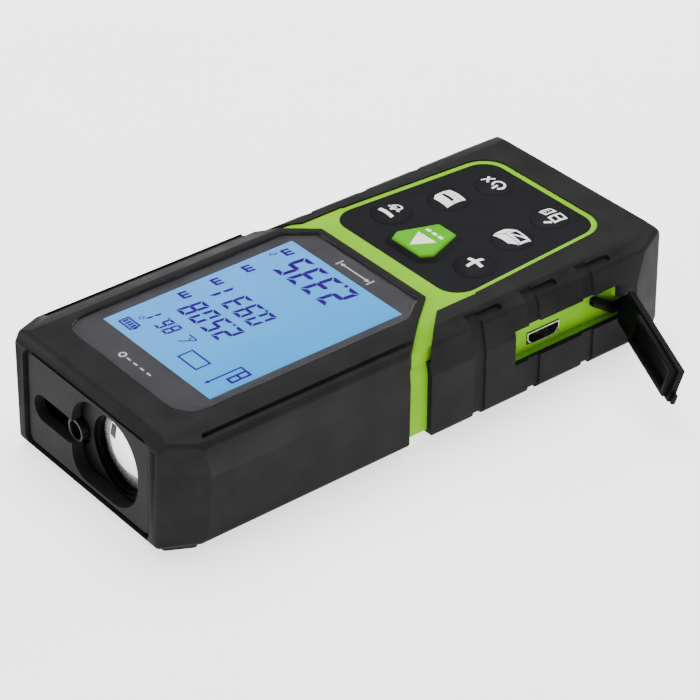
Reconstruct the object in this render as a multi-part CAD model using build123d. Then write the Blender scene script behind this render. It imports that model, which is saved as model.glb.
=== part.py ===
from build123d import *
import math
import os

# Laser distance meter, in millimetres. +Y is the measuring direction, +Z is up out of the display,
# +X is to the right of someone who reads the display. z = 0 is the plane that the meter rests on, and
# the origin is the mouth of the tripod thread in the middle of the underside.

# ---- driving dimensions -------------------------------------------------------------------------
HALF_WIDTH = 25.9  # at the widest belt
BELT_Z = 15.0
FRONT_Y, FRONT_TOP_Y = 57.2, 54.0  # front face at the bottom, and where the top face ends
REAR_Y, REAR_TOP_Y = -55.7, -54.0
NOSE_HALF, NOSE_SIDE_Y = 21.3, 48.5  # the front corners are cut off from here to here
TAIL_HALF, TAIL_SIDE_Y = 22.5, -47.0
BASE_Z = 1.2  # underside of the rubber
TOP_Z, REAR_TOP_Z = 23.2, 22.9  # the display's face, and the top of the rear boot
SKIN = 1.2  # rubber on the sides
UNDER_SKIN = 0.8  # rubber on the underside
EDGE_ROUND = 1.1  # outer edges of the boots
WALL = 1.2  # hard shell
SPLIT_Z = 17.4  # the two shells meet here
CREST_Z = 22.6  # lime surface round the keypad

BAND_FRONT, BAND_REAR = 6.1, 1.4  # lime band on the sides, between the two rubber boots

GLASS_HALF, GLASS_FRONT, GLASS_REAR = 18.7, 48.4, -5.0
GLASS_CUT_X, GLASS_CUT_Y = 14.5, 0.4  # the two rear corners are cut off from here to here
LCD_HALF, LCD_LENGTH = 16.0, 41.3
SHELL_TOP = 21.7
GLASS_T, GLASS_GAP, GLUE_GAP = 0.85, 0.2, 0.03

PAD_FRONT, PAD_REAR = -10.1, -46.7
PAD_FRONT_HALF, PAD_REAR_HALF = 18.3, 15.9
PAD_RIM, PAD_LEDGE = 1.1, 0.8
PAD_FLOOR, PAD_TOP = 21.0, 22.5
MOUND = 0.6  # the panel rises round the measuring key
KEY_TRAVEL, KEY_GAP = 0.5, 0.07
KEY_FOOT, KEY_CAP_BOTTOM = 18.75, 20.6

MAIN_BOARD_Z, KEY_BOARD_Z = 8.9, 16.4  # undersides of the two circuit boards
BOARD_T, KEY_BOARD_T = 1.2, 1.0
FLOOR_Z = BASE_Z + UNDER_SKIN + WALL

LENS_X, LENS_Z, LENS_R = -6.4, 11.3, 7.35
LASER_X, LASER_Z = 5.0, 10.9
NOSE_GROOVE, NOSE_RECESS, COLLAR = 1.0, 0.6, 0.75
CHASSIS_FRONT, CHASSIS_STEP, CHASSIS_REAR = 54.0, 46.0, 29.0

POCKET_FRONT, POCKET_REAR = -17.9, -42.6
POCKET_LOW, POCKET_HIGH = 9.0, 16.2
POCKET_FLOOR_X = -23.2
USB_Y, USB_LOW = -26.5, 10.1
USB_HALF_WIDTH, USB_HEIGHT = 3.75, 2.5

HINGE = (-26.2, -43.7, 11.2)
HINGE_AXIS = (0.035, -0.223, 0.974)
FLAP_OPEN_DEG = 72.0

SCREW_X, SCREW_FRONT, SCREW_REAR = 20.6, 46.5, -46.5
THREAD_R, THREAD_DEPTH = 2.6, 7.5  # wall of a 1/4-20 thread

KEYS = {  # name: (x, y, cap radius, top of the dome)
    "key_minus": (12.0, -20.0, 3.9, 23.5),
    "key_plus": (-12.0, -20.0, 3.9, 23.5),
    "key_memory": (9.0, -31.2, 3.9, 23.35),
    "key_area": (-9.0, -31.2, 3.9, 23.35),
    "key_clear": (7.9, -41.4, 3.7, 23.2),
    "key_units": (-7.9, -41.4, 3.7, 23.2),
}
KEY_EDGE = 22.52  # where a round key's dome starts
MEASURE_KEY = [(4.2, -13.8), (5.4, -15.8), (2.5, -23.6)]  # right-hand corners of the six-sided key
MEASURE_CENTRE_Y, MEASURE_TOP = -18.4, 23.5


# ---- helpers ------------------------------------------------------------------------------------
def block(x0, x1, y0, y1, z0, z1):
    return Pos((x0 + x1) / 2, (y0 + y1) / 2, (z0 + z1) / 2) * Box(x1 - x0, y1 - y0, z1 - z0)


def rod_z(x, y, r, z0, z1):
    return Pos(x, y, (z0 + z1) / 2) * Cylinder(r, z1 - z0)


def rod_y(x, z, r, y0, y1):
    return Pos(x, (y0 + y1) / 2, z) * Rot(90, 0, 0) * Cylinder(r, y1 - y0)


def polygon(points):
    return make_face(Polyline(*points, close=True))


def two_sided(half):
    """Closed outline from the corners of its right half."""
    return polygon(half + [(-x, y) for x, y in reversed(half)])


def prism_z(face, z0, z1):
    return extrude(Plane.XY.offset(z0) * face, amount=z1 - z0)


def prism_y(face, y0, y1):
    """The face's x and y become X and Z."""
    return extrude(Plane.XZ.offset(-y1) * face, amount=y1 - y0)


def prism_x(face, x0, x1):
    """The face's x and y become Y and Z."""
    return extrude(Plane.YZ.offset(x0) * face, amount=x1 - x0)


def inset(face, amount):
    return offset(face, -amount, kind=Kind.INTERSECTION) if amount else face


def both_sides(shape):
    return shape + mirror(shape, Plane.YZ)


# ---- outlines -----------------------------------------------------------------------------------
def plan_outline():
    return two_sided(
        [
            (NOSE_HALF, FRONT_Y),
            (HALF_WIDTH, NOSE_SIDE_Y),
            (HALF_WIDTH, TAIL_SIDE_Y),
            (TAIL_HALF, REAR_Y),
        ]
    )


def side_outline(top=TOP_Z):
    """Seen from the side: Y and Z. The front face leans forward towards its foot."""
    return polygon(
        [
            (FRONT_Y - 0.7, BASE_Z),
            (FRONT_Y, BASE_Z + 0.7),
            (FRONT_Y - 1.1, top - 2.1),
            (FRONT_TOP_Y, top),
            (REAR_TOP_Y, top),
            (REAR_Y, top - 1.9),
            (REAR_Y, BASE_Z + 1.2),
            (REAR_Y + 1.2, BASE_Z),
        ]
    )


def front_section():
    """Seen from the front: X and Z, through the display end."""
    foot = [(24.3, BASE_Z), (25.4, BASE_Z + 1.1), (HALF_WIDTH, BELT_Z)]
    shoulder = [(25.5, 21.0), (24.8, 21.9), (20.0, TOP_Z)]
    return two_sided(foot + shoulder)


def rear_section():
    """Seen from the front: X and Z, through the keypad end, which has wider shoulders."""
    foot = [(24.4, BASE_Z), (25.6, BASE_Z + 1.2), (HALF_WIDTH, BELT_Z)]
    shoulder = [(24.8, 20.5), (22.0, 22.3), (19.4, REAR_TOP_Z)]
    return two_sided(foot + shoulder)


def shell_section():
    bottom = BASE_Z + UNDER_SKIN
    return two_sided(
        [(23.2, bottom), (24.4, bottom + 1.2), (HALF_WIDTH - SKIN, BELT_Z), (23.6, 19.6), (20.2, SHELL_TOP)]
    )


def hull(section, top):
    """The solid that has the given section, plan outline and side outline, with rounded edges."""
    solid = prism_z(plan_outline(), -5, 40) & prism_y(section, -80, 80) & prism_x(side_outline(top), -40, 40)
    return fillet(solid.edges(), EDGE_ROUND)


def glass_outline(grow=0.0):
    face = two_sided(
        [
            (GLASS_CUT_X, GLASS_REAR),
            (GLASS_HALF, GLASS_CUT_Y),
            (GLASS_HALF, GLASS_FRONT),
        ]
    )
    face = fillet(face.vertices().sort_by(Axis.Y)[-2:], 5.0)
    return offset(face, grow, kind=Kind.INTERSECTION) if grow else face


def pad_outline(grow=0.0):
    face = two_sided([(PAD_FRONT_HALF, PAD_FRONT), (PAD_REAR_HALF, PAD_REAR)])
    face = fillet(face.vertices(), 4.6)
    return offset(face, grow) if grow else face


def measure_outline(grow=0.0):
    face = fillet(two_sided(MEASURE_KEY).vertices(), 0.5)
    return offset(face, grow) if grow else face


def nose_outline(grow=0.0):
    """Plate in the front face: X and Z."""
    face = two_sided([(18.2, 2.6), (18.2, 20.5)])
    face = fillet(face.vertices(), 1.3)
    return offset(face, grow) if grow else face


def aperture():
    """Keyhole for the two beams: a slot that runs into a large round window."""
    slot = Pos((LASER_X + 15.4) / 2, LASER_Z) * SlotOverall(15.4 - LASER_X + 2.6, 5.2)
    window = polygon([(-15.3, 3.2), (4.9, 3.2), (4.9, 19.9), (-15.3, 19.9)])
    corners = window.vertices()
    near = [v for v in corners if v.X < 0]
    low = [v for v in corners if v.X > 0 and v.Y < 10]
    window = fillet(near, 7.9)
    window = fillet([v for v in window.vertices() if v.X > 4 and v.Y < 4], 4.2)
    window = fillet([v for v in window.vertices() if v.X > 4 and v.Y > 19], 7.0)
    return slot + window


# ---- shells and rubber --------------------------------------------------------------------------
def lower_zone(y0, y1, rounded_y, radius):
    """Side view of a boot below the split, with one rounded corner at the bottom."""
    face = polygon([(y0, BASE_Z), (y1, BASE_Z), (y1, SPLIT_Z), (y0, SPLIT_Z)])
    corner = [v for v in face.vertices() if abs(v.X - rounded_y) < 0.1 and v.Y < SPLIT_Z - 1]
    return prism_x(fillet(corner, radius), -40, 40)


def front_zone():
    """Where the front boot is. Its rear edge slants over the shoulders and is straight down the sides."""
    edge = [(15.0, GLASS_REAR - 1.1), (22.0, 2.0), (25.5, BAND_FRONT), (40, BAND_FRONT), (40, 80)]
    return prism_z(two_sided(edge), SPLIT_Z, 40) + lower_zone(BAND_FRONT, 80, BAND_FRONT, 0.8)


def rear_zone():
    """Where the rear boot is. Its front edge points forward on each shoulder, beside the lime waist."""
    edge = [(40, -80), (40, BAND_REAR), (25.5, BAND_REAR), (19.4, -5.0), (19.4, PAD_FRONT - 4)]
    return prism_z(two_sided(edge), SPLIT_Z, 40) + lower_zone(-80, BAND_REAR, BAND_REAR, 2.0)


def shell_solid(extra=0.0):
    """Outside of the hard shell, or with extra = WALL its inside."""
    section = shell_section()
    plan = prism_z(inset(plan_outline(), SKIN + extra), -5, 40)
    sides = prism_y(inset(section, extra), -80, 80)
    profile = prism_x(inset(side_outline(), SKIN + extra), -40, 40)
    low = BASE_Z + UNDER_SKIN + extra
    return plan & sides & (profile + block(-40, 40, REAR_Y + 3, FRONT_Y - 3, low, 20))


def corner_screw_places():
    return [(sx * SCREW_X, y) for sx in (-1, 1) for y in (SCREW_REAR, SCREW_FRONT)]


def pocket_space():
    return block(-30, POCKET_FLOOR_X, POCKET_REAR, POCKET_FRONT, POCKET_LOW, POCKET_HIGH)


def hinge_notch():
    return block(-30, POCKET_FLOOR_X, HINGE[1] - 1.5, POCKET_REAR, 9.0, 13.4)


def crest():
    """Raised lime surface round the keypad and across the waist."""
    top = two_sided([(24.4, 15.0), (24.1, 20.1), (20.9, 22.2), (19.2, CREST_Z)])
    waist = block(-30, 30, PAD_FRONT - 4, BAND_FRONT, SPLIT_Z, 30) - front_zone() - rear_zone()
    strip = waist + prism_z(pad_outline(PAD_RIM), SPLIT_Z, 30)
    return prism_y(top, -60, 20) & strip & prism_z(inset(plan_outline(), SKIN), SPLIT_Z, 30)


def upper_housing():
    body = shell_solid() + crest()
    body -= shell_solid(WALL)
    body &= block(-40, 40, -80, 80, SPLIT_Z, 40)
    for x, y in corner_screw_places():
        body += rod_z(x, y, 2.6, SPLIT_Z, SHELL_TOP - 0.4) & shell_solid()
        body -= rod_z(x, y, 0.85, SPLIT_Z - 1, SHELL_TOP - 1.6)
    body -= prism_z(pad_outline(), PAD_FLOOR, 30)
    body -= prism_z(pad_outline(-PAD_LEDGE), 10, 30)
    body -= block(-LCD_HALF - 0.8, LCD_HALF + 0.8, -0.9, LCD_LENGTH + 0.9, 10, 30)
    body -= prism_y(offset(aperture(), COLLAR), 50, 60)
    return body


def lower_housing():
    body = shell_solid() - shell_solid(WALL)
    body += block(-24.0, POCKET_FLOOR_X + 1.2, HINGE[1] - 2.5, POCKET_FRONT + 1.0, 8.0, SPLIT_Z)
    body += rod_z(0, 0, 7.2, 0, 8.1)
    body &= block(-40, 40, -80, 80, -1, SPLIT_Z)
    for x, y in corner_screw_places():
        body += rod_z(x, y, 2.6, FLOOR_Z - 0.2, SPLIT_Z) & shell_solid()
    for x, y in board_screw_places():
        body += rod_z(x, y, 2.0, FLOOR_Z - 0.2, MAIN_BOARD_Z)
        body -= rod_z(x, y, 0.85, FLOOR_Z + 1.0, 20)
    for x, y in ear_places():
        body += rod_z(x, y, 1.9, FLOOR_Z - 0.2, 5.0)
        body -= rod_z(x, y, 0.85, FLOOR_Z + 0.2, 20)
    for x, y in corner_screw_places():
        body -= rod_z(x, y, 1.1, -1, 20)
        body -= rod_z(x, y, 2.0, -1, 4.6)
    body -= pocket_space() + hinge_notch()
    reach = USB_HALF_WIDTH + 0.1
    body -= block(-30, -20, USB_Y - reach, USB_Y + reach, USB_LOW, USB_LOW + USB_HEIGHT + 0.15)
    body -= rod_z(0, 0, 4.8, -1, THREAD_DEPTH)
    body -= prism_y(offset(aperture(), COLLAR), 50, 60)
    return body


def front_boot():
    body = (hull(front_section(), TOP_Z) - shell_solid()) & front_zone()
    body -= prism_z(glass_outline(), SHELL_TOP - 0.4, 30)
    body -= prism_y(nose_outline(NOSE_GROOVE), 50, 60)
    body -= both_sides(shoulder_groove())
    body -= rod_z(0, 0, 7.4, -1, 5)
    for x, y in corner_screw_places():
        body -= rod_z(x, y, 2.0, -1, 5)
    return body


def shoulder_groove():
    """Shallow channel beside the display, parallel to it, with a rounded front end."""
    channel = prism_y(polygon([(22.9, 23.4), (24.8, 23.2), (24.6, 21.5), (23.3, 21.6)]), -10, 47.6)
    return channel + rod_z(23.9, 47.6, 0.8, 21.6, 24)


def rear_boot():
    body = (hull(rear_section(), REAR_TOP_Z) - shell_solid()) & rear_zone()
    body -= prism_z(pad_outline(PAD_RIM), SPLIT_Z, 30)
    for k in range(3):
        body -= both_sides(grip_mark(-8.3 - 12.85 * k))
    body -= pocket_space() + hinge_notch()
    body -= rod_z(0, 0, 7.4, -1, 5)
    for x, y in corner_screw_places():
        body -= rod_z(x, y, 2.0, -1, 5)
    return body


def grip_mark(front):
    """L-shaped recess: a shallow upright channel with a short slot that turns back along the shoulder."""
    depth = 0.45
    slab = block(22.5, 30, front - 2.7, front, -5, 22.0)
    channel = slab - prism_y(inset(rear_section(), depth), -60, 20)
    shoulder = Plane(origin=(23.5, front - 4.2, 21.35), x_dir=(0, 1, 0), z_dir=(0.54, 0, 0.84))
    slot = extrude(shoulder.offset(-0.55) * SlotOverall(7.6, 1.5), amount=2.2)
    return channel + slot


def feet():
    front = polygon([(17.6, 55.6), (20.8, 55.6), (24.2, 49.4), (17.6, 49.4)])
    rear = polygon([(17.6, -54.2), (21.6, -54.2), (24.2, -49.4), (17.6, -49.4)])
    pads = []
    for face in (front, rear):
        pad = extrude(Plane.XY.offset(BASE_Z) * fillet(face.vertices(), 1.1), amount=-BASE_Z, taper=14)
        pads += [pad, mirror(pad, Plane.YZ)]
    return Compound(pads)


def front_layer(outer, inner):
    """Layer that follows the front face, between two depths under it."""
    return prism_x(inset(side_outline(), outer), -40, 40) - prism_x(inset(side_outline(), inner), -40, 40)


def nose_plate():
    """Plate with a lower border round it, and a collar that lines the opening through the shell."""
    plate = front_layer(NOSE_RECESS, SKIN) & prism_y(nose_outline(), 53, 60)
    border = front_layer(NOSE_RECESS + 0.4, SKIN) & prism_y(nose_outline(NOSE_GROOVE), 53, 60)
    border -= block(-30, 30, 50, 54.3, 0, 3)
    lining = prism_y(offset(aperture(), COLLAR - 0.03), 54.1, 60)
    lining &= prism_x(inset(side_outline(), NOSE_RECESS + 0.2), -40, 40)
    return plate + border + lining - prism_y(aperture(), 50, 60)


def base_label():
    outline = polygon([(-14, -44), (14, -44), (14, -14), (-14, -14)])
    return prism_z(fillet(outline.vertices(), 2.0), BASE_Z - 0.2, BASE_Z)


# ---- display and keypad -------------------------------------------------------------------------
def lcd_window_space(z0, z1, grow=0.0):
    return block(-LCD_HALF - grow, LCD_HALF + grow, -grow, LCD_LENGTH + grow, z0, z1)


def display_window():
    return prism_z(glass_outline(-GLASS_GAP), TOP_Z - GLASS_T, TOP_Z)


def window_mask():
    """Printed frame with its adhesive, between the shell and the window."""
    sheet = prism_z(glass_outline(-GLASS_GAP), SHELL_TOP, TOP_Z - GLASS_T - GLUE_GAP)
    return sheet - lcd_window_space(20, 25)


def lcd_glass():
    """Two glass sheets, and a polariser on top that fills the opening of the printed frame."""
    sheets = lcd_window_space(19.5, SHELL_TOP - 0.1, 0.6)
    return sheets + lcd_window_space(SHELL_TOP - 0.1, TOP_Z - GLASS_T - 0.05, -0.05)


def lcd_backlight():
    return lcd_window_space(17.0, 19.5, 0.6)


def lcd_frame():
    outside = block(-LCD_HALF - 2, LCD_HALF + 2, -2.5, LCD_LENGTH + 2.3, 16.2, 20.2)
    return outside - lcd_window_space(17.0, 25, 0.6)


def lcd_flex():
    return block(-10, 10, -2.8, -2.5, MAIN_BOARD_Z + BOARD_T, 18.5)


def keypad_membrane():
    body = prism_z(pad_outline(), PAD_FLOOR, PAD_TOP)
    body += extrude(Plane.XY.offset(PAD_TOP) * measure_outline(1.3), amount=MOUND, taper=55)
    for x, y, r, _ in KEYS.values():
        body -= rod_z(x, y, r + KEY_GAP, 10, 30)
    return body - prism_z(measure_outline(KEY_GAP), 10, 30)


def round_key(x, y, r, top):
    """Low dome on a cap, with a stem that reaches down to its switch."""
    rise = top - KEY_EDGE
    ball = (r * r + rise * rise) / (2 * rise)
    cap = rod_z(x, y, r, KEY_CAP_BOTTOM, top) & (Pos(x, y, top - ball) * Sphere(ball))
    return cap + rod_z(x, y, 1.6, KEY_FOOT, KEY_CAP_BOTTOM)


def measure_key():
    cap = prism_z(measure_outline(), KEY_CAP_BOTTOM, MEASURE_TOP)
    cap = chamfer(cap.edges().group_by(Axis.Z)[-1], 0.35)
    return cap + rod_z(0, MEASURE_CENTRE_Y, 1.8, KEY_FOOT, KEY_CAP_BOTTOM)


def key_places():
    return [(x, y) for x, y, _, _ in KEYS.values()] + [(0, MEASURE_CENTRE_Y)]


def dome_switches():
    z = KEY_BOARD_Z + KEY_BOARD_T
    domes = []
    for x, y in key_places():
        ball = (2.5**2 + 0.6**2) / 1.2
        dome = rod_z(x, y, 2.5, z, z + 0.6) & (Pos(x, y, z + 0.6 - ball) * Sphere(ball))
        domes.append(dome)
    return Compound(domes)


# ---- circuit boards -----------------------------------------------------------------------------
def board_screw_places():
    return [(-15.6, -48.4), (15.6, -48.4), (-15.6, 22.0), (15.6, 22.0)]


def spacer_places():
    return [(-13.4, -12.9), (13.4, -12.9), (-13.2, -43.6), (13.2, -43.6)]


def keypad_board():
    body = block(-15.2, 15.2, -45.8, -11.0, KEY_BOARD_Z, KEY_BOARD_Z + KEY_BOARD_T)
    for x, y in spacer_places():
        body -= rod_z(x, y, 0.9, 10, 20)
    return body


def board_spacers():
    top = MAIN_BOARD_Z + BOARD_T
    spacers = []
    for x, y in spacer_places():
        spacers.append(rod_z(x, y, 1.7, top, KEY_BOARD_Z) - rod_z(x, y, 0.85, top + 1.5, 20))
    return Compound(spacers)


def screw(x, y, head_r, head_z0, head_z1, shaft_r, shaft_z0, shaft_z1):
    """Cross-recessed screw along Z. The recess is in the head's far face."""
    body = rod_z(x, y, head_r, head_z0, head_z1) + rod_z(x, y, shaft_r, shaft_z0, shaft_z1)
    face_z = head_z0 if shaft_z1 > head_z1 else head_z1
    reach = head_r * 0.6
    for half_x, half_y in ((reach, 0.22), (0.22, reach)):
        body -= block(x - half_x, x + half_x, y - half_y, y + half_y, face_z - 0.5, face_z + 0.5)
    return body


def keypad_screws():
    top = KEY_BOARD_Z + KEY_BOARD_T
    return Compound([screw(x, y, 1.4, top, top + 0.9, 0.8, 12.2, top) for x, y in spacer_places()])


def board_screws():
    top = MAIN_BOARD_Z + BOARD_T
    places = board_screw_places()
    return Compound([screw(x, y, 1.5, top, top + 1.0, 0.8, FLOOR_Z + 1.3, top) for x, y in places])


def housing_screws():
    return Compound([screw(x, y, 1.85, 3.0, 4.6, 0.8, 4.6, 19.4) for x, y in corner_screw_places()])


def main_board():
    body = block(-17.6, 17.6, -50.2, 26.0, MAIN_BOARD_Z, MAIN_BOARD_Z + BOARD_T)
    body += block(-21.9, -17.6, USB_Y - 5.5, USB_Y + 5.5, MAIN_BOARD_Z, MAIN_BOARD_Z + BOARD_T)
    for x, y in board_screw_places():
        body -= rod_z(x, y, 0.9, 5, 20)
    return body


def board_link():
    return block(-6.0, 6.0, -15.0, -12.5, MAIN_BOARD_Z + BOARD_T, KEY_BOARD_Z)


def main_chips():
    z = MAIN_BOARD_Z + BOARD_T
    return Compound(
        [
            block(-6.0, 4.0, -30.0, -20.0, z, z + 1.4),
            block(-12.5, -7.5, -9.5, -3.5, z, z + 1.2),
            block(6.0, 11.0, -9.5, -3.5, z, z + 1.2),
            block(-15.5, -12.5, -27.5, -23.5, z, z + 1.0),
            block(-14.0, -10.0, 8.0, 13.0, z, z + 1.1),
        ]
    )


def shield_can():
    z = MAIN_BOARD_Z + BOARD_T
    can = block(-7.0, 9.0, 6.0, 21.0, z, z + 2.6) - block(-6.7, 8.7, 6.3, 20.7, z - 1, z + 2.3)
    return can


def buzzer():
    z = MAIN_BOARD_Z + BOARD_T
    return rod_z(10.5, -31.0, 4.6, z, z + 2.8) - rod_z(10.5, -31.0, 0.9, z + 1.8, z + 4)


def usb_receptacle():
    """Drawn-steel shell with a D-shaped mouth in the pocket's floor."""
    low, high = USB_LOW, USB_LOW + USB_HEIGHT
    half = USB_HALF_WIDTH

    def mouth(t):
        return polygon(
            [
                (USB_Y - half + t, high - t),
                (USB_Y + half - t, high - t),
                (USB_Y + half - t, low + 1.1),
                (USB_Y + half - 1.0 - t, low + t),
                (USB_Y - half + 1.0 + t, low + t),
                (USB_Y - half + t, low + 1.1),
            ]
        )

    return prism_x(mouth(0), POCKET_FLOOR_X - 0.25, -17.9) - prism_x(mouth(0.16), -30, -18.3)


def usb_tongue():
    return block(-22.9, -18.3, USB_Y - 1.9, USB_Y + 1.9, 11.3, 11.9)


# ---- battery ------------------------------------------------------------------------------------
def battery_cell():
    body = block(-14.0, 14.0, -46.0, -12.5, FLOOR_Z + 0.5, 8.3)
    return fillet(body.edges().filter_by(Axis.Y), 1.6)


def battery_pad():
    return block(-12.0, 12.0, -44.0, -14.5, FLOOR_Z, FLOOR_Z + 0.5)


def battery_leads():
    def lead(x):
        run = rod_y(x, 6.2, 0.45, -12.5, -9.5)
        rise = rod_z(x, -9.5, 0.45, 6.2, MAIN_BOARD_Z)
        return run + rise + Pos(x, -9.5, 6.2) * Sphere(0.45)

    return Compound([lead(9.0), lead(11.0)])


# ---- optics -------------------------------------------------------------------------------------
def ear_places():
    return [(-16.3, 49.5), (11.2, 49.5), (11.2, 34.0)]


def optics_chassis():
    body = block(-14.4, 9.2, CHASSIS_STEP, CHASSIS_FRONT, 3.3, 19.4)
    body += block(9.0, 19.0, 52.0, 52.8, 6.2, 16.0)
    body += block(-12.0, 9.2, CHASSIS_REAR, CHASSIS_STEP, 3.6, 15.8)
    for x, y in ear_places():
        inner = -13.0 if x < 0 else 9.0
        body += block(min(x, inner), max(x, inner), y - 1.9, y + 1.9, 5.0, 6.6) + rod_z(x, y, 1.9, 5.0, 6.6)
        body -= rod_z(x, y, 0.9, 4, 8)
    body -= rod_y(LENS_X, LENS_Z, LENS_R + 0.05, 49.5, 60)
    body -= rod_y(LENS_X, LENS_Z, LENS_R - 0.5, 47.0, 60)
    funnel = Rot(-90, 0, 0) * Cone(2.4, 4.0, 18.0)
    body -= Pos(LENS_X, 38.0, LENS_Z) * funnel
    body -= rod_y(LASER_X, LASER_Z, 2.95, 28, 60)
    return body


def receiver_lens():
    ball = 15.0
    front = 53.9
    return rod_y(LENS_X, LENS_Z, LENS_R, 49.5, front) & (Pos(LENS_X, front - ball, LENS_Z) * Sphere(ball))


def lens_retainer():
    return rod_y(LENS_X, LENS_Z, LENS_R + 0.05, 52.15, 53.3) - rod_y(LENS_X, LENS_Z, LENS_R - 0.2, 50, 60)


def laser_barrel():
    tube = rod_y(LASER_X, LASER_Z, 2.9, 38.0, 53.4) + rod_y(LASER_X, LASER_Z, 2.2, 53.4, 55.3)
    return tube - rod_y(LASER_X, LASER_Z, 2.2, 30, 52.7) - rod_y(LASER_X, LASER_Z, 1.75, 50, 60)


def collimator_lens():
    ball = 6.0
    front = 52.6
    return rod_y(LASER_X, LASER_Z, 2.18, 50.6, front) & (Pos(LASER_X, front - ball, LASER_Z) * Sphere(ball))


def laser_diode():
    body = rod_y(LASER_X, LASER_Z, 2.8, 36.6, 37.9) + rod_y(LASER_X, LASER_Z, 1.7, 37.9, 41.0)
    for k in range(3):
        angle = math.radians(90 + 120 * k)
        body += rod_y(LASER_X + 1.2 * math.cos(angle), LASER_Z + 1.2 * math.sin(angle), 0.22, 29.0, 36.6)
    return body


def sensor_board():
    return block(-13.0, 9.2, 27.8, 29.0, 3.9, 15.6)


def sensor_can():
    return rod_y(LENS_X, LENS_Z, 2.2, 29.0, 31.6)


def sensor_flex():
    return block(-4.0, 2.0, 24.2, 27.8, MAIN_BOARD_Z + BOARD_T, MAIN_BOARD_Z + BOARD_T + 0.25)


def optics_screws():
    return Compound([screw(x, y, 1.4, 6.6, 7.6, 0.8, FLOOR_Z + 0.4, 6.6) for x, y in ear_places()])


# ---- tripod thread and port cover ---------------------------------------------------------------
def tripod_insert():
    body = rod_z(0, 0, 4.8, 0, THREAD_DEPTH)
    return body - rod_z(0, 0, THREAD_R, -1, THREAD_DEPTH + 1)


def hinge_rod(r, s0, s1):
    """Cylinder on the hinge axis, between two distances from the hinge's middle."""
    place = Plane(origin=HINGE, z_dir=HINGE_AXIS, x_dir=(1, 0, -HINGE_AXIS[0] / HINGE_AXIS[2]))
    return extrude(place.offset(s0) * Circle(r), amount=s1 - s0)


def hinge_arm(s0, s1, y0, y1, half):
    """Flat arm across the hinge axis, along the cover's length."""
    place = Plane(origin=HINGE, z_dir=HINGE_AXIS, x_dir=(1, 0, -HINGE_AXIS[0] / HINGE_AXIS[2]))
    bar = Pos(0, (y0 + y1) / 2) * Rectangle(2 * half, y1 - y0)
    return extrude(place.offset(s0) * bar, amount=s1 - s0)


def flap_anchor():
    """Rubber root in the pocket's end: a slanted tongue on the floor, and an eye for the pin."""
    upper = [(-37.7, 12.7), (-37.8, 14.0), (-38.9, 14.1), (-43.5, 11.0)]
    tongue = polygon(upper + [(-44.9, 11.0), (-44.9, 9.4), (-42.6, 9.4)])
    root = prism_x(tongue, -24.3, POCKET_FLOOR_X)
    arm = block(-26.0, -24.2, HINGE[1] - 0.9, HINGE[1] + 0.5, 10.3, 12.0)
    return root + arm + hinge_rod(1.05, -0.9, 0.9) - hinge_rod(0.65, -3, 3)


def usb_flap():
    """Rubber cover in its closed place, then swung open."""
    low, high = POCKET_LOW + 0.2, POCKET_HIGH - 0.2
    rear, front = POCKET_REAR + 0.5, POCKET_FRONT - 0.9
    plate = block(-25.95, -24.75, rear, front, low, high)
    plug = block(-24.75, -23.85, -35.8, front - 0.9, low + 0.5, high - 0.5)
    plug -= block(-24.75, -23.0, -34.9, front - 1.8, low + 1.3, high - 1.3)
    tab = block(-25.95, -25.2, front, front + 0.8, low, low + 1.9)
    body = plate + plug + tab
    body -= hinge_rod(1.35, -1.0, 1.0)
    for s0, s1 in ((-1.8, -1.0), (1.0, 1.8)):
        body += hinge_rod(0.95, s0, s1) + hinge_arm(s0, s1, 0, 2.2, 0.75)
    body += hinge_rod(0.6, -1.7, 1.7)
    return body.rotate(Axis(HINGE, HINGE_AXIS), FLAP_OPEN_DEG)


# ---- write every piece --------------------------------------------------------------------------
def pieces():
    made = {
        "upper_housing": upper_housing(),
        "lower_housing": lower_housing(),
        "front_boot": front_boot(),
        "rear_boot": rear_boot(),
        "feet": feet(),
        "nose_plate": nose_plate(),
        "base_label": base_label(),
        "display_window": display_window(),
        "window_mask": window_mask(),
        "lcd_glass": lcd_glass(),
        "lcd_backlight": lcd_backlight(),
        "lcd_frame": lcd_frame(),
        "lcd_flex": lcd_flex(),
        "keypad_membrane": keypad_membrane(),
        "key_measure": measure_key(),
        "dome_switches": dome_switches(),
        "keypad_board": keypad_board(),
        "board_spacers": board_spacers(),
        "keypad_screws": keypad_screws(),
        "board_link": board_link(),
        "main_board": main_board(),
        "main_chips": main_chips(),
        "shield_can": shield_can(),
        "buzzer": buzzer(),
        "board_screws": board_screws(),
        "usb_receptacle": usb_receptacle(),
        "usb_tongue": usb_tongue(),
        "battery_cell": battery_cell(),
        "battery_pad": battery_pad(),
        "battery_leads": battery_leads(),
        "optics_chassis": optics_chassis(),
        "receiver_lens": receiver_lens(),
        "lens_retainer": lens_retainer(),
        "laser_barrel": laser_barrel(),
        "collimator_lens": collimator_lens(),
        "laser_diode": laser_diode(),
        "sensor_board": sensor_board(),
        "sensor_can": sensor_can(),
        "sensor_flex": sensor_flex(),
        "optics_screws": optics_screws(),
        "housing_screws": housing_screws(),
        "tripod_insert": tripod_insert(),
        "flap_anchor": flap_anchor(),
        "usb_flap": usb_flap(),
    }
    for name, place in KEYS.items():
        made[name] = round_key(*place)
    return made


os.makedirs("parts", exist_ok=True)
for name, shape in pieces().items():
    export_step(shape, f"parts/{name}.step")
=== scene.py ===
import math

import bmesh
import bpy
from mathutils import Matrix, Vector


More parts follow.
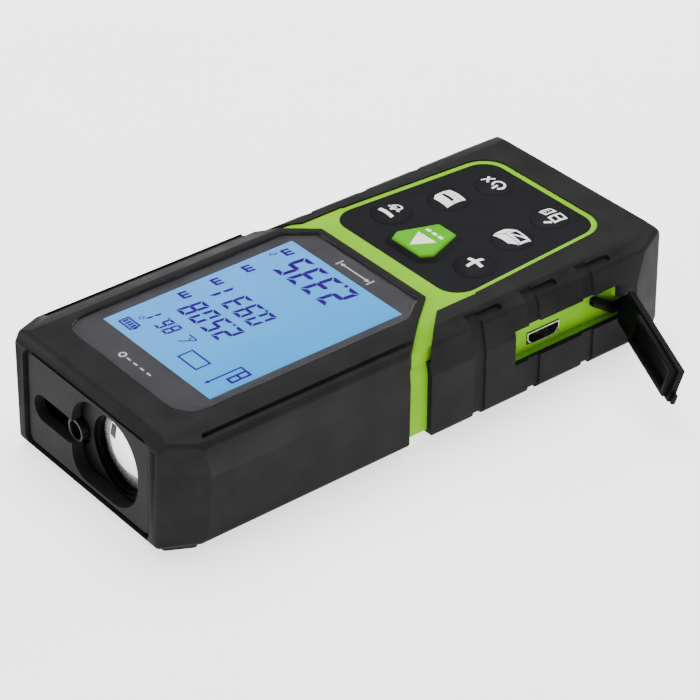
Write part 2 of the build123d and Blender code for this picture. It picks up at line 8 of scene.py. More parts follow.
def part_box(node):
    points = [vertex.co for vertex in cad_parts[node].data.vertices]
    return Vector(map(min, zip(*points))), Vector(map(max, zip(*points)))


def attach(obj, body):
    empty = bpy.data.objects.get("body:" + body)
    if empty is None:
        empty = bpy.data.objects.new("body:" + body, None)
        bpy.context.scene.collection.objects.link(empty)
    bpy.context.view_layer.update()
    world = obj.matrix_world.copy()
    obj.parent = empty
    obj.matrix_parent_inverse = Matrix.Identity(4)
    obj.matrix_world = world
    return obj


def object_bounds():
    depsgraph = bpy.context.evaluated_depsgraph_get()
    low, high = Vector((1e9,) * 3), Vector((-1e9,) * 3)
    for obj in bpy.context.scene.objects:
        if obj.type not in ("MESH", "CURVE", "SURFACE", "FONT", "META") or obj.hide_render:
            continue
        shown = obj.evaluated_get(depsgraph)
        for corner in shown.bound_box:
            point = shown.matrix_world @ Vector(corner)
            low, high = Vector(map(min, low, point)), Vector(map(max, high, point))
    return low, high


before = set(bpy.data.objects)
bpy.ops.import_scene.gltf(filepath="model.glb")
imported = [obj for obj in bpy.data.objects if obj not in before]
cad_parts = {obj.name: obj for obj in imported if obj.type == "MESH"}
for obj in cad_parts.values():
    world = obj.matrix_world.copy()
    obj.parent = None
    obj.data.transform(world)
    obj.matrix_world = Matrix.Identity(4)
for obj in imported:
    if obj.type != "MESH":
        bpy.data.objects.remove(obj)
cad_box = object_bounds()

MM = 0.001

# ---- driving values, in millimetres unless a comment says otherwise -----------------------------
CAMERA_AZIMUTH, CAMERA_ELEVATION, CAMERA_ROLL = 232.66, 33.52, -1.12  # degrees
CAMERA_LENS = 141.6
CAMERA_DISTANCE = 497.47
CAMERA_TARGET = (-1.83, 0.81, 8.06)

DIGIT_SLANT = 0.12  # sideways lean of a digit for each millimetre of its height
SEGMENT_INK = 0.012  # thickness of the marks on the liquid crystal
KEY_INK = 0.03  # thickness of the sign on the measuring key
DOME_INK = 0.04  # the signs on the domed keys stand this far out and reach this far in
BORDER_GAP = 0.02  # from the window down to the underside of the signs on the dark border
RIM_INNER, RIM_OUTER = 0.02, 0.1  # the paint on the window's side walls, measured outwards
KEY_EDGE = 22.52  # height where a round key's dome starts
LENS_BALL = 15.0  # radius of the receiver lens's front
WINDOW_CORNER = 4.8  # radius of the window's front corners
WINDOW_CUT_X, WINDOW_CUT_Y = 14.4, 0.47  # its rear corners are cut off from here to here
SHARP_ANGLE = 28  # degrees: edges sharper than this stay edges


# ---- materials ----------------------------------------------------------------------------------
class Shader:
    """One node-based material. Positions come from object space, which is the part's own frame."""

    def __init__(self, name, **values):
        self.material = bpy.data.materials.new(name)
        self.material.use_nodes = True
        self.nodes = self.material.node_tree.nodes
        self.links = self.material.node_tree.links
        self.surface = self.nodes["Principled BSDF"]
        self.place = self.nodes.new("ShaderNodeTexCoord").outputs["Object"]
        for socket, value in values.items():
            self.surface.inputs[socket.replace("_", " ")].default_value = value

    def noise(self, size_mm, detail=3.0, stretch=None):
        """Noise with features of about that size."""
        node = self.nodes.new("ShaderNodeTexNoise")
        node.inputs["Scale"].default_value = 1.0 / (size_mm * MM)
        node.inputs["Detail"].default_value = detail
        place = self.place
        if stretch:
            mapping = self.nodes.new("ShaderNodeMapping")
            mapping.inputs["Scale"].default_value = stretch
            self.links.new(place, mapping.inputs["Vector"])
            place = mapping.outputs["Vector"]
        self.links.new(place, node.inputs["Vector"])
        return node.outputs["Fac"]

    def ramp(self, source, stops):
        """Colour ramp through (position, colour) pairs."""
        node = self.nodes.new("ShaderNodeValToRGB")
        while len(node.color_ramp.elements) < len(stops):
            node.color_ramp.elements.new(0.5)
        for element, (position, colour) in zip(node.color_ramp.elements, stops):
            element.position = position
            element.color = (*colour, 1.0)
        self.links.new(source, node.inputs["Fac"])
        return node.outputs["Color"]

    def span(self, source, low, high):
        """Maps noise, which stays near its middle, to the given range."""
        node = self.nodes.new("ShaderNodeMapRange")
        node.inputs["From Min"].default_value = 0.3
        node.inputs["From Max"].default_value = 0.7
        node.inputs["To Min"].default_value = low
        node.inputs["To Max"].default_value = high
        self.links.new(source, node.inputs["Value"])
        return node.outputs["Result"]

    def along(self, axis, start_mm, end_mm):
        """0 at start, 1 at end, along one axis of the part."""
        split = self.nodes.new("ShaderNodeSeparateXYZ")
        self.links.new(self.place, split.inputs["Vector"])
        node = self.nodes.new("ShaderNodeMapRange")
        node.inputs["From Min"].default_value = start_mm * MM
        node.inputs["From Max"].default_value = end_mm * MM
        self.links.new(split.outputs[axis], node.inputs["Value"])
        return node.outputs["Result"]

    def feed(self, socket, source):
        """Links a node's output to one socket of the surface."""
        self.links.new(source, self.surface.inputs[socket])

    def mottle(self, dark, light, size_mm):
        """Base colour that drifts between two tones."""
        self.feed("Base Color", self.ramp(self.noise(size_mm), [(0.35, dark), (0.65, light)]))

    def uneven(self, low, high, size_mm):
        """Roughness that drifts between two values."""
        self.feed("Roughness", self.span(self.noise(size_mm), low, high))

    def grain(self, size_mm, depth_mm, detail=2.0, stretch=None):
        """Fine relief."""
        node = self.nodes.new("ShaderNodeBump")
        node.inputs["Distance"].default_value = depth_mm * MM
        node.inputs["Strength"].default_value = 1.0
        self.links.new(self.noise(size_mm, detail, stretch), node.inputs["Height"])
        self.feed("Normal", node.outputs["Normal"])


def moulded(name, dark, light, rough, grain_mm, depth_mm, **values):
    """Moulded rubber or plastic: slightly mottled, with a fine spark-eroded grain."""
    shader = Shader(name, **values)
    shader.mottle(dark, light, 6.0)
    shader.uneven(rough - 0.05, rough + 0.05, 3.0)
    shader.grain(grain_mm, depth_mm)
    return shader.material


def metal(name, dark, light, rough, stretch):
    """Metal with faint lines, which lie across the axis with the largest stretch."""
    shader = Shader(name, Metallic=1.0)
    shader.mottle(dark, light, 1.5)
    shader.uneven(rough - 0.06, rough + 0.08, 0.8)
    shader.grain(0.25, 0.004, 2.0, stretch)
    return shader.material


def clear(name, tint, ior):
    """Clear glass or acrylic with faint unevenness in its polish."""
    shader = Shader(name, Transmission_Weight=1.0, IOR=ior)
    shader.mottle(tint, tuple(min(1.0, c * 1.02) for c in tint), 8.0)
    shader.uneven(0.0, 0.02, 5.0)
    return shader.material


def lit_display():
    """Backlit liquid crystal: blue, paler and more violet towards the right."""
    shader = Shader("lcd_lit", Roughness=0.5, Emission_Strength=1.0, Specular_IOR_Level=0.0)
    drift = shader.noise(14.0, 1.0)
    across = shader.along("X", -18.0, 18.0)
    mix = shader.nodes.new("ShaderNodeMath")
    mix.operation = "MULTIPLY_ADD"
    mix.inputs[1].default_value = 0.5
    shader.links.new(across, mix.inputs[2])
    shader.links.new(drift, mix.inputs[0])
    unlit = [(0.4, (0.01, 0.02, 0.03)), (0.6, (0.012, 0.024, 0.036))]
    glow = [(0.2, (0.02, 0.54, 1.36)), (0.6, (0.07, 0.62, 1.45)), (1.0, (0.14, 0.62, 1.50))]
    shader.feed("Base Color", shader.ramp(drift, unlit))
    shader.feed("Emission Color", shader.ramp(mix.outputs["Value"], glow))
    return shader.material


def lit_segments():
    """Dark segments: deep violet, since a little of the backlight comes through."""
    shader = Shader("lcd_segment", Roughness=0.6, Emission_Strength=1.0, Specular_IOR_Level=0.0)
    shader.mottle((0.003, 0.002, 0.01), (0.004, 0.003, 0.012), 3.0)
    glow = [(0.35, (0.042, 0.0, 0.25)), (0.65, (0.055, 0.0, 0.31))]
    shader.feed("Emission Color", shader.ramp(shader.noise(5.0), glow))
    return shader.material


def lens_with_painted_reflection():
    """Receiver lens with a coat and a painted reflection in its base colour: dark low down and towards +X,
    near white high up and towards -X.
    """
    shader = Shader("lens_painted_reflection", Metallic=0.55, Coat_Weight=1.0, Coat_Roughness=0.02)
    height = shader.along("Z", 6.5, 15.5)
    across = shader.along("X", 1.5, -12.0)
    mix = shader.nodes.new("ShaderNodeMath")
    mix.operation = "ADD"
    shader.links.new(height, mix.inputs[0])
    shader.links.new(across, mix.inputs[1])
    half = shader.nodes.new("ShaderNodeMath")
    half.operation = "MULTIPLY"
    half.inputs[1].default_value = 0.5
    shader.links.new(mix.outputs["Value"], half.inputs[0])
    # painted reflection: these dark and bright stops stand in for what the lens mirrors
    dark = [(0.25, (0.02, 0.02, 0.02)), (0.42, (0.25, 0.25, 0.25))]
    bright = [(0.55, (0.75, 0.75, 0.74)), (0.8, (0.95, 0.95, 0.94))]
    shader.feed("Base Color", shader.ramp(half.outputs["Value"], dark + bright))
    shader.uneven(0.08, 0.14, 4.0)
    return shader.material


def lit_floor():
    """White sweep lit from behind, so that nearly no shadow is left on it."""
    shader = Shader("studio_floor", Roughness=0.8, Emission_Strength=1.7, Specular_IOR_Level=0.0)
    shader.mottle((0.88, 0.88, 0.88), (0.90, 0.90, 0.90), 40.0)
    glow = [(0.4, (0.98, 0.98, 0.98)), (0.6, (1.0, 1.0, 1.0))]
    shader.feed("Emission Color", shader.ramp(shader.noise(60.0), glow))
    return shader.material


def make_materials():
    """All finishes by name. A moulded one has two colours, roughness, grain size and grain depth."""
    return {
        "boot": moulded("boot_rubber", (0.0145, 0.0145, 0.015), (0.0185, 0.0185, 0.019), 0.45, 0.22, 0.008,
                        Specular_IOR_Level=0.3, IOR=1.12),
        "cover": moulded("cover_rubber", (0.002, 0.002, 0.002), (0.003, 0.003, 0.003), 0.45, 0.25, 0.006,
                         Specular_IOR_Level=0.3, IOR=1.2),
        "nose": moulded("nose_plastic", (0.017, 0.017, 0.0175), (0.021, 0.021, 0.0215), 0.5, 0.18, 0.008,
                        Specular_IOR_Level=0.3, IOR=1.12),
        "lime": moulded("lime_plastic", (0.18, 0.46, 0.0), (0.20, 0.50, 0.0), 0.42, 0.3, 0.004,
                        Specular_IOR_Level=0.05),
        "inside": moulded("inside_black", (0.002, 0.002, 0.002), (0.003, 0.003, 0.003), 0.5, 0.2, 0.004,
                          Specular_IOR_Level=0.3, IOR=1.2),
        "panel": moulded("panel_silicone", (0.006, 0.006, 0.008), (0.008, 0.008, 0.010), 0.55, 0.2, 0.003,
                         Specular_IOR_Level=0.05),
        "key": moulded("key_black", (0.006, 0.006, 0.008), (0.008, 0.008, 0.010), 0.55, 0.3, 0.003,
                       Specular_IOR_Level=0.05),
        "key_green": moulded("key_green", (0.06, 0.36, 0.0), (0.075, 0.40, 0.0), 0.4, 0.3, 0.003,
                             Specular_IOR_Level=0.05),
        "mask": moulded("mask_ink", (0.040, 0.038, 0.043), (0.045, 0.043, 0.048), 0.6, 0.3, 0.001,
                        Specular_IOR_Level=0.05),
        "white_ink": moulded("white_ink", (0.82, 0.83, 0.84), (0.90, 0.91, 0.92), 0.5, 0.25, 0.004),
        "grey_ink": moulded("grey_ink", (0.50, 0.50, 0.51), (0.58, 0.58, 0.59), 0.5, 0.25, 0.004),
        "segment": lit_segments(),
        "window": clear("window_acrylic", (0.98, 0.99, 0.99), 1.10),
        "glass": clear("optical_glass", (0.93, 0.96, 0.99), 1.52),
        # receiver lens: painted reflection in its base colour
        "lens": lens_with_painted_reflection(),
        # dark finish of the painted reflection square on the receiver lens
        "reflection": moulded("lens_reflection", (0.006, 0.006, 0.007), (0.009, 0.009, 0.010),
                              0.6, 0.4, 0.001),
        "lcd": lit_display(),
        "steel": metal("bright_steel", (0.60, 0.60, 0.59), (0.74, 0.74, 0.73), 0.26, (1, 6, 1)),
        "tin": metal("tin_plate", (0.42, 0.43, 0.42), (0.52, 0.53, 0.52), 0.32, (6, 1, 1)),
        "barrel": metal("dark_aluminium", (0.02, 0.02, 0.022), (0.035, 0.035, 0.04), 0.42, (1, 8, 1)),
        "brass": metal("turned_brass", (0.62, 0.44, 0.17), (0.76, 0.56, 0.24), 0.25, (1, 1, 6)),
        "gold": metal("gold_plate", (0.72, 0.52, 0.20), (0.85, 0.64, 0.28), 0.2, (1, 6, 1)),
        "board": moulded("solder_mask", (0.008, 0.10, 0.035), (0.012, 0.14, 0.05), 0.35, 0.5, 0.02),
        "flex": moulded("amber_film", (0.40, 0.17, 0.02), (0.50, 0.23, 0.03), 0.3, 0.4, 0.004),
        "ivory": moulded("ivory_plastic", (0.62, 0.57, 0.44), (0.70, 0.65, 0.52), 0.5, 0.3, 0.006),
        "milky": moulded("light_guide", (0.72, 0.75, 0.78), (0.80, 0.82, 0.85), 0.4, 0.4, 0.004),
        "pouch": moulded("cell_pouch", (0.42, 0.43, 0.45), (0.52, 0.53, 0.55), 0.35, 1.2, 0.03,
                         Metallic=0.4),
        "foam": moulded("foam_pad", (0.03, 0.03, 0.03), (0.06, 0.06, 0.06), 0.9, 0.3, 0.08),
        "wire": moulded("wire_jacket", (0.40, 0.01, 0.01), (0.50, 0.02, 0.02), 0.45, 0.3, 0.006),
        "label": moulded("label_film", (0.40, 0.41, 0.41), (0.46, 0.47, 0.47), 0.4, 0.3, 0.003,
                         Metallic=0.3),
        "floor": lit_floor(),
    }


MATERIALS = make_materials()

NODE_MATERIALS = {
    "boot": ["front_boot", "rear_boot", "feet"],
    "cover": ["usb_flap", "flap_anchor"],
    "nose": ["nose_plate"],
    "lime": ["upper_housing", "lower_housing"],
    "inside": ["lcd_frame", "optics_chassis", "lens_retainer", "usb_tongue", "main_chips", "buzzer"],
    "panel": ["keypad_membrane"],
    "key": ["key_minus", "key_plus", "key_memory", "key_area", "key_clear", "key_units"],
    "key_green": ["key_measure"],
    "mask": ["window_mask"],
    "window": ["display_window"],
    "glass": ["collimator_lens"],
    "lens": ["receiver_lens"],
    "lcd": ["lcd_glass"],
    "steel": ["dome_switches", "keypad_screws", "board_screws", "housing_screws", "optics_screws"],
    "tin": ["shield_can", "usb_receptacle", "sensor_can"],
    "barrel": ["laser_barrel"],
    "brass": ["board_spacers", "tripod_insert"],
    "gold": ["laser_diode"],
    "board": ["keypad_board", "main_board", "sensor_board"],
    "flex": ["lcd_flex", "sensor_flex"],
    "ivory": ["board_link"],
    "milky": ["lcd_backlight"],
    "pouch": ["battery_cell"],
    "foam": ["battery_pad"],
    "wire": ["battery_leads"],
    "label": ["base_label"],
}

BEVELS = {  # node: radius of its softened edges
    "front_boot": 0.35,
    "rear_boot": 0.35,
    "feet": 0.2,
    "usb_flap": 0.15,
    "flap_anchor": 0.15,
    "upper_housing": 0.12,
    "lower_housing": 0.12,
    "key_measure": 0.12,
    "laser_barrel": 0.08,
    "lens_retainer": 0.1,
}


def dress_nodes():
    """Gives every CAD node its material, smooth shading and softened edges."""
    for material, names in NODE_MATERIALS.items():
        for name in names:
            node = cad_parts[name]
            node.data.materials.clear()
            node.data.materials.append(MATERIALS[material])
            soften(node, BEVELS.get(name, 0.0))


def soften(node, radius):
    """Smooth shading and, where a radius is given, rounded edges on merged flat faces."""
    node.data.polygons.foreach_set("use_smooth", [True] * len(node.data.polygons))
    node.data.set_sharp_from_angle(angle=math.radians(SHARP_ANGLE))
    if not radius:
        return
    weld = node.modifiers.new("weld", "WELD")
    weld.merge_threshold = 0.002 * MM
    merge = node.modifiers.new("flat", "DECIMATE")
    merge.decimate_type = "DISSOLVE"
    merge.angle_limit = math.radians(0.3)
    edge = node.modifiers.new("edge", "BEVEL")
    edge.width = radius * MM
    edge.segments = 3
    edge.limit_method = "ANGLE"
    edge.angle_limit = math.radians(SHARP_ANGLE)
    edge.harden_normals = True
    edge.miter_outer = "MITER_ARC"


# ---- mesh helpers -------------------------------------------------------------------------------
def mesh_piece(name, bm, material, body):
    """Turns a bmesh in millimetres into a piece that rides on a body."""
    bmesh.ops.scale(bm, vec=(MM, MM, MM), verts=bm.verts)
    bmesh.ops.recalc_face_normals(bm, faces=bm.faces)
    mesh = bpy.data.meshes.new(name)
    bm.to_mesh(mesh)
    bm.free()
    piece = bpy.data.objects.new(name, mesh)
    bpy.context.scene.collection.objects.link(piece)
    mesh.materials.append(MATERIALS[material])
    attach(piece, body)


def marks(name, outlines, surface, material, body, thickness, sunk=0.0, step=0.0):
    """Thin marks on the surface z = surface(x, y). A step splits them up to follow a curved one."""
    bm = bmesh.new()
    for outline in outlines:
        bm.faces.new([bm.verts.new((x, y, 0)) for x, y in outline])
    if step:
        split_long_edges(bm, step)
    for vert in bm.verts:
        vert.co.z = surface(vert.co.x, vert.co.y) - sunk
    thicken(bm, (0, 0, thickness + sunk))
    mesh_piece(name, bm, material, body)


def thicken(bm, way):
    """Turns the faces into closed solids by sweeping them along the way."""
    swept = bmesh.ops.extrude_face_region(bm, geom=bm.faces[:])["geom"]
    for vert in [v for v in swept if isinstance(v, bmesh.types.BMVert)]:
        vert.co += Vector(way)


def flat(z):
    """Flat surface at height z, for marks."""
    return lambda x, y: z


def split_long_edges(bm, step):
    """Triangles with edges up to about the step."""
    bm.normal_update()
    bmesh.ops.triangulate(bm, faces=bm.faces[:])
    for _ in range(4):
        long_edges = [e for e in bm.edges if e.calc_length() > step]
        bmesh.ops.subdivide_edges(bm, edges=long_edges, cuts=1)
        bmesh.ops.triangulate(bm, faces=bm.faces[:])


# ---- outlines -----------------------------------------------------------------------------------
def rectangle(x0, y0, x1, y1):
    return [(x0, y0), (x1, y0), (x1, y1), (x0, y1)]


def frame_bars(x0, y0, x1, y1, t):
    """Rectangle drawn as four bars that meet without overlap."""
    return [
        rectangle(x0, y1 - t, x1, y1),
        rectangle(x0, y0, x1, y0 + t),
        rectangle(x0, y0 + t, x0 + t, y1 - t),
        rectangle(x1 - t, y0 + t, x1, y1 - t),
    ]


def arc_band(cx, cy, r, t, start, end, steps=24):
    """Part of a ring of mean radius r and width t, from start to end in degrees."""
    angles = [math.radians(start + (end - start) * k / steps) for k in range(steps + 1)]
    outer = [(cx + (r + t / 2) * math.cos(a), cy + (r + t / 2) * math.sin(a)) for a in angles]
    inner = [(cx + (r - t / 2) * math.cos(a), cy + (r - t / 2) * math.sin(a)) for a in reversed(angles)]
    return outer + inner


def ring(cx, cy, r, t):
    """A whole ring, as two halves, since an outline has no hole."""
    return [arc_band(cx, cy, r, t, 0, 180), arc_band(cx, cy, r, t, 180, 360)]


def stroke(x0, y0, x1, y1, t):
    """Straight line of width t."""
    length = math.hypot(x1 - x0, y1 - y0)
    nx, ny = -(y1 - y0) / length * t / 2, (x1 - x0) / length * t / 2
    return [(x0 - nx, y0 - ny), (x1 - nx, y1 - ny), (x1 + nx, y1 + ny), (x0 + nx, y0 + ny)]


def moved(outlines, dx, dy):
    return [[(x + dx, y + dy) for x, y in outline] for outline in outlines]


SEGMENTS = {
    "0": "abcdef",
    "1": "bc",
    "2": "abdeg",
    "3": "abcdg",
    "5": "acdfg",
    "6": "acdefg",
    "8": "abcdefg",
    "9": "abcdfg",
}


def digit(char, x, y, w, h, t):
    """Seven-segment digit with its lower left corner at (x, y), leaning to the right."""
    gap = t * 0.16
    mid = h / 2
    shapes = {
        "a": [(gap, h), (w - gap, h), (w - t - gap, h - t), (t + gap, h - t)],
        "d": [(t + gap, t), (w - t - gap, t), (w - gap, 0), (gap, 0)],
        "g": [(gap, mid), (t * 0.6, mid + t / 2), (w - t * 0.6, mid + t / 2), (w - gap, mid),
              (w - t * 0.6, mid - t / 2), (t * 0.6, mid - t / 2)],
        "b": [(w, h - gap), (w, mid + gap), (w - t, mid + t / 2 + gap), (w - t, h - t - gap)],
        "c": [(w, mid - gap), (w, gap), (w - t, t + gap), (w - t, mid - t / 2 - gap)],
        "f": [(0, h - gap), (t, h - t - gap), (t, mid + t / 2 + gap), (0, mid + gap)],
        "e": [(0, mid - gap), (t, mid - t / 2 - gap), (t, t + gap), (0, gap)],
    }
    return [[(x + px + py * DIGIT_SLANT, y + py) for px, py in shapes[s]] for s in SEGMENTS[char]]


def number(text, x, y, w, h, t, pitch, point_room):
    """Digits with a decimal point, which takes a little room of its own."""
    outlines = []
    for char in text:
        if char == ".":
            dot = x - pitch + w + (pitch - w) / 2  # halfway between the digits round it
            outlines.append(rectangle(dot - t * 0.35, y - t * 0.1, dot + t * 0.45, y + t * 0.7))
            x += point_room
        else:
            outlines += digit(char, x, y, w, h, t)
            x += pitch
    return outlines


def metre_sign(x, y):
    """The unit letter for metres as one comb-shaped outline with bars of width b."""
    w, h, b = 2.4, 1.8, 0.56
    mid0, mid1 = (w - b) / 2, (w + b) / 2
    comb = [(0, 0), (0, h), (w, h), (w, 0), (w - b, 0), (w - b, h - b), (mid1, h - b), (mid1, 0),
            (mid0, 0), (mid0, h - b), (b, h - b), (b, 0)]
    return [[(x + px + py * DIGIT_SLANT, y + py) for px, py in comb]]


# ---- display ------------------------------------------------------------------------------------
READINGS = [  # text, left end, lower edge, then digit width, height, stroke, pitch, room for a point
    ("2.335", -6.4, 1.7, 3.2, 7.1, 0.95, 4.22, 0.3),
    ("0.931", -3.2, 17.5, 2.6, 5.25, 0.72, 3.47, 0.0),
    ("2.508", -3.3, 24.5, 2.6, 5.35, 0.72, 3.47, 0.0),
    ("86.1", 4.4, 32.2, 1.75, 3.5, 0.5, 2.3, 0.3),
]


def display_marks():
    """What the display shows: three lengths and an angle, with units, and the status signs."""
    outlines = []
    for reading in READINGS:
        outlines += number(*reading)
    for y in (2.2, 11.0, 17.9, 24.9):
        outlines += metre_sign(12.0, y)
    outlines += digit("2", 13.9, 4.8, 0.85, 1.4, 0.24)  # a raised 2 over the lowest unit
    outlines += ring(11.95, 35.9, 0.42, 0.2)  # degree sign
    outlines += battery_sign()
    outlines += angle_sign()
    outlines += frame_bars(-7.5, 34.8, -1.9, 38.15, 0.37)  # sign for measuring an area
    outlines += reference_sign()
    return outlines


def battery_sign():
    """A case with four charge bars, and a terminal at its left end."""
    left, low, right, high = 9.9, 37.4, 13.8, 39.75
    pitch, width = 0.78, 0.54
    starts = [left + 0.5 + pitch * k for k in range(4)]
    bars = [rectangle(x, low + 0.55, x + width, high - 0.55) for x in starts]
    terminal = rectangle(left - 0.3, low + 0.8, left, high - 0.7)
    return frame_bars(left, low, right, high, 0.37) + bars + [terminal]


def angle_sign():
    """Two legs with an arc between them."""
    return [
        stroke(-0.1, 32.55, 2.3, 32.55, 0.3),
        stroke(-0.05, 32.76, 1.9, 35.3, 0.3),
        arc_band(-0.1, 32.6, 1.35, 0.22, 8, 45, 8),
    ]


def reference_sign():
    """Outline of the meter with an arrow that starts at its rear edge."""
    body = frame_bars(-14.7, 31.4, -12.8, 35.8, 0.5) + [rectangle(-14.2, 33.35, -13.3, 33.85)]
    arrow = [rectangle(-12.8, 31.4, -11.42, 31.8), rectangle(-11.82, 31.8, -11.42, 38.4)]
    head = [[(-12.1, 38.4), (-11.09, 38.4), (-11.595, 39.3)]]
    return body + arrow + head


def build_display():
    """The lit marks on the liquid crystal, and the signs printed on the border under the window."""
    glass_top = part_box("lcd_glass")[1].z / MM
    marks("lcd_marks", display_marks(), flat(glass_top), "segment", "body", SEGMENT_INK)
    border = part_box("display_window")[0].z / MM - BORDER_GAP
    marks("window_print", window_signs(), flat(border), "grey_ink", "body", BORDER_GAP / 2)


def build_window_rim():
    """Dark paint on the window's side walls, which hides its clear edge."""
    outer = grown(window_outline(), RIM_OUTER)
    inner = grown(window_outline(), RIM_INNER)
    quads = []
    for k in range(len(outer)):
        after = (k + 1) % len(outer)
        quads.append([outer[k], outer[after], inner[after], inner[k]])
    low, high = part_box("display_window")
    height = (high.z - low.z) / MM - 0.02  # ends just below the window's face
    marks("window_rim", quads, flat(low.z / MM), "mask", "body", height)


def window_outline():
    """The window's outline, anticlockwise: cut rear corners and round front corners."""
    low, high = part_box("display_window")
    half, rear, front = high.x / MM, low.y / MM, high.y / MM
    x0, y0 = half - WINDOW_CORNER, front - WINDOW_CORNER
    angles = [math.radians(90 * k / 8) for k in range(9)]
    corner = [(x0 + WINDOW_CORNER * math.cos(a), y0 + WINDOW_CORNER * math.sin(a)) for a in angles]
    right = [(WINDOW_CUT_X, rear), (half, WINDOW_CUT_Y)] + corner
    return right + [(-x, y) for x, y in reversed(right)]


def grown(outline, amount):
    """An anticlockwise outline with each side moved outwards by the amount."""
    result = []
    for k, (x, y) in enumerate(outline):
        before, after = outline[k - 1], outline[(k + 1) % len(outline)]
        d0 = Vector((x - before[0], y - before[1])).normalized()
        d1 = Vector((after[0] - x, after[1] - y)).normalized()
        outward = Vector((d0.y + d1.y, -d0.x - d1.x)).normalized()
        reach = amount / outward.dot(Vector((d0.y, -d0.x)))
        result.append((x + outward.x * reach, y + outward.y * reach))
    return result


def window_signs():
    """Generic signs on the dark border: a measured distance near the keys, a beam at the front."""
    span = [
        rectangle(-4.6, -2.9, -4.3, -1.1),
        rectangle(4.3, -2.9, 4.6, -1.1),
        rectangle(-3.2, -2.13, 3.2, -1.87),
        [(-4.1, -2.0), (-3.2, -2.5), (-3.2, -1.5)],
        [(4.1, -2.0), (3.2, -1.5), (3.2, -2.5)],
    ]
    beam = [stroke(-4.0 + 2.0 * k, 45.0, -2.9 + 2.0 * k, 45.0, 0.3) for k in range(4)]
    spot = ring(4.4, 45.0, 0.62, 0.3)
    return span + beam + spot


# ---- keypad -------------------------------------------------------------------------------------
def dome(node):
    """Centre of a round key, and the height of its domed top as a function of x and y."""
    low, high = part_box(node)
    cx, cy = (low.x + high.x) / 2 / MM, (low.y + high.y) / 2 / MM
    r, top = (high.x - low.x) / 2 / MM, high.z / MM
    rise = top - KEY_EDGE
    ball = (r * r + rise * rise) / (2 * rise)

    def height(x, y):
        return top - ball + math.sqrt(ball * ball - (x - cx) ** 2 - (y - cy) ** 2)

    return cx, cy, height


def key_sign(node, outlines):
    """White sign on a domed key, drawn round the key's centre."""
    cx, cy, height = dome(node)
    placed = moved(outlines, cx, cy)
    marks(node + "_sign", placed, height, "white_ink", node, DOME_INK, DOME_INK, 0.5)


def plus_sign():
    a, b = 0.38, 1.9
    lower = [(-b, -a), (-a, -a), (-a, -b), (a, -b), (a, -a), (b, -a)]
    return [lower + [(-x, -y) for x, y in lower]]


def minus_and_timer_sign():
    """A bar over an alarm clock."""
    bar = [rectangle(-1.95, 0.95, 1.95, 1.7)]
    hands = [rectangle(-0.13, -1.3, 0.13, -0.56), rectangle(0.13, -1.3, 0.6, -1.05)]
    clock = ring(0, -1.3, 0.95, 0.4) + hands
    knob = [rectangle(-0.35, -0.12, 0.35, 0.2)]
    bells = [stroke(-1.5, -0.75, -1.05, -0.3, 0.35), stroke(1.05, -0.3, 1.5, -0.75, 0.35)]
    return bar + clock + knob + bells


def memory_sign():
    """A storage card with one cut corner, split by lines."""
    return [
        [(-2.4, 0.55), (2.4, 0.55), (2.4, 1.3), (1.5, 2.25), (-2.4, 2.25)],
        rectangle(-2.4, -0.05, -1.6, 0.45),
        rectangle(1.5, -0.05, 2.4, 0.45),
        rectangle(-2.4, -1.05, 2.4, -0.15),
        rectangle(-2.4, -2.25, 2.4, -1.2),
    ]


def area_sign():
    """A box seen from above one corner, with a slash across its front."""
    front = frame_bars(-3.0, -2.1, 1.2, 0.5, 0.5)
    slash = [[(-2.5, -1.6), (-1.7, -1.6), (0.7, 0.0), (-0.1, 0.0)]]
    top = [[(-3.0, 0.68), (1.25, 0.68), (2.9, 2.1), (-1.4, 2.1)]]
    side = [[(1.4, 0.5), (1.4, -2.1), (3.0, -0.8), (3.0, 1.9)]]
    return front + slash + top + side


def power_and_clear_sign():
    """The open ring of a power switch, and a cross made of one long and two short strokes."""
    power = [arc_band(-1.35, 0, 1.15, 0.45, 125, 415), rectangle(-1.58, 0.3, -1.12, 1.65)]
    cross = [
        stroke(0.75, -0.95, 2.65, 0.95, 0.5),
        stroke(0.75, 0.95, 1.45, 0.25, 0.5),
        stroke(1.95, -0.25, 2.65, -0.95, 0.5),
    ]
    return power + cross


def units_sign():
    """The meter with its beam, and a short rule with two graduations."""
    body = frame_bars(-2.4, -2.3, -0.3, 0.9, 0.4) + [rectangle(-2.0, -0.9, -0.7, -0.5)]
    pointer = [stroke(-1.9, 1.15, -0.9, 2.3, 0.45)]
    graduations = [rectangle(1.25, -1.1, 2.12, -0.85), rectangle(1.25, -0.4, 2.12, -0.15)]
    rule = frame_bars(0.4, -2.1, 2.5, 0.6, 0.38) + graduations
    return body + pointer + rule


def measure_sign():
    """A triangle that points to the measuring end, with three dashes behind it."""
    triangle = [(0, -14.6), (-2.6, -18.8), (2.6, -18.8)]
    dashes = [rectangle(-2.3 + 1.7 * k, -20.8, -1.1 + 1.7 * k, -20.1) for k in range(3)]
    return [triangle] + dashes


def build_keypad():
    """The signs on the seven keys."""
    top = flat(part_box("key_measure")[1].z / MM)
    marks("key_measure_sign", measure_sign(), top, "white_ink", "key_measure", KEY_INK)
    key_sign("key_plus", plus_sign())
    key_sign("key_minus", minus_and_timer_sign())
    key_sign("key_memory", memory_sign())
    key_sign("key_area", area_sign())
    key_sign("key_clear", power_and_clear_sign())
    key_sign("key_units", units_sign())


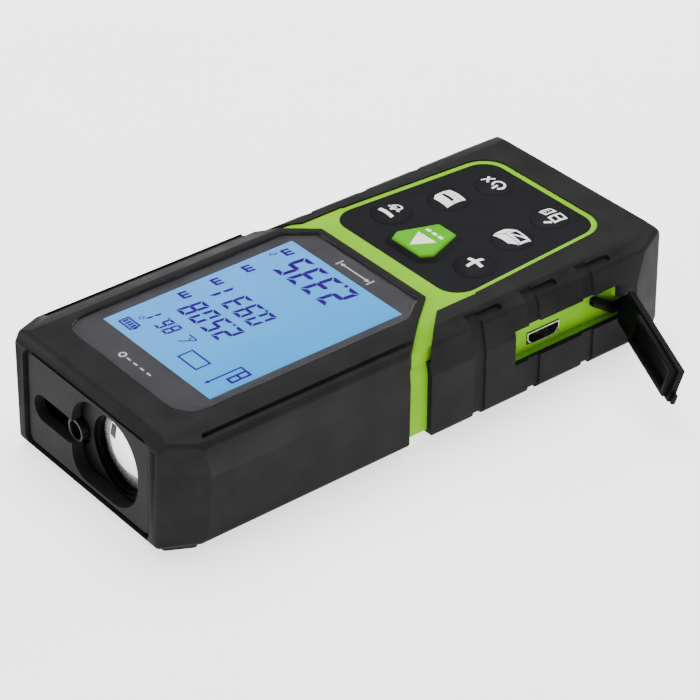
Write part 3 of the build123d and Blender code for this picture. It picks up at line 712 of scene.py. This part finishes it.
# ---- optics -------------------------------------------------------------------------------------
def build_lens_reflection():
    """Painted reflection: a dark square that stands for a reflection seen in the receiver lens, laid on
    its curved front.
    """
    low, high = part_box("receiver_lens")
    cx, cz, front = (low.x + high.x) / 2 / MM, (low.z + high.z) / 2 / MM, high.y / MM
    square = [(1.2, 2.6), (3.0, 2.6), (3.2, 4.7), (1.4, 4.9)]  # X and Z from the lens's centre
    sunk, thickness = 0.02, 0.05
    bm = bmesh.new()
    bm.faces.new([bm.verts.new((x, z, 0)) for x, z in square])
    split_long_edges(bm, 0.6)
    for vert in bm.verts:
        x, z = vert.co.x, vert.co.y
        y = front - LENS_BALL + math.sqrt(LENS_BALL**2 - x * x - z * z)
        vert.co = (cx + x, y - sunk, cz + z)
    thicken(bm, (0, thickness, 0))
    mesh_piece("receiver_lens_painted_reflection", bm, "reflection", "body")


# ---- studio -------------------------------------------------------------------------------------
def build_floor():
    """White floor under the meter, far wider than the view."""
    bm = bmesh.new()
    bmesh.ops.create_grid(bm, x_segments=1, y_segments=1, size=3.0)
    mesh = bpy.data.meshes.new("studio_floor")
    bm.to_mesh(mesh)
    bm.free()
    floor = bpy.data.objects.new("studio_floor", mesh)
    floor.location.z = cad_box[0].z
    bpy.context.scene.collection.objects.link(floor)
    mesh.materials.append(MATERIALS["floor"])


def build_sky():
    """Even white light from all round."""
    world = bpy.data.worlds.new("studio")
    world.use_nodes = True
    background = world.node_tree.nodes["Background"]
    background.inputs["Color"].default_value = (1.0, 1.0, 1.0, 1.0)
    background.inputs["Strength"].default_value = 0.45
    bpy.context.scene.world = world


def add_soft_box(name, place, size, power):
    """Rectangular light at a place in metres, turned towards the meter."""
    data = bpy.data.lights.new(name, "AREA")
    data.shape = "RECTANGLE"
    data.size, data.size_y = size
    data.energy = power
    light = bpy.data.objects.new(name, data)
    bpy.context.scene.collection.objects.link(light)
    light.location = place
    light.rotation_euler = (-Vector(place)).to_track_quat("-Z", "Y").to_euler()


def build_studio():
    build_floor()
    build_sky()
    add_soft_box("top_box", (0.25, -0.2, 0.85), (0.7, 0.7), 14.0)
    add_soft_box("side_box", (0.0, -0.9, 0.4), (0.5, 0.5), 3.5)
    add_soft_box("front_box", (0.3, 0.9, 0.35), (0.6, 0.5), 4.5)


def build_camera():
    """Camera that looks at the target from its azimuth, elevation and distance."""
    a, e = math.radians(CAMERA_AZIMUTH), math.radians(CAMERA_ELEVATION)
    back = Vector((math.sin(a) * math.cos(e), -math.cos(a) * math.cos(e), math.sin(e)))
    right = Vector((0, 0, 1)).cross(back).normalized()
    up = back.cross(right)
    turn = Matrix.Rotation(math.radians(CAMERA_ROLL), 3, back)
    right, up = turn @ right, turn @ up
    data = bpy.data.cameras.new("camera")
    data.sensor_width = 36.0
    data.lens = CAMERA_LENS
    data.clip_start, data.clip_end = 0.01, 20.0
    camera = bpy.data.objects.new("camera", data)
    bpy.context.scene.collection.objects.link(camera)
    place = Vector(CAMERA_TARGET) * MM + back * CAMERA_DISTANCE * MM
    camera.matrix_world = Matrix(
        (
            (right.x, up.x, back.x, place.x),
            (right.y, up.y, back.y, place.y),
            (right.z, up.z, back.z, place.z),
            (0, 0, 0, 1),
        )
    )
    bpy.context.scene.camera = camera


dress_nodes()
build_display()
build_window_rim()
build_keypad()
build_lens_reflection()
build_studio()
build_camera()
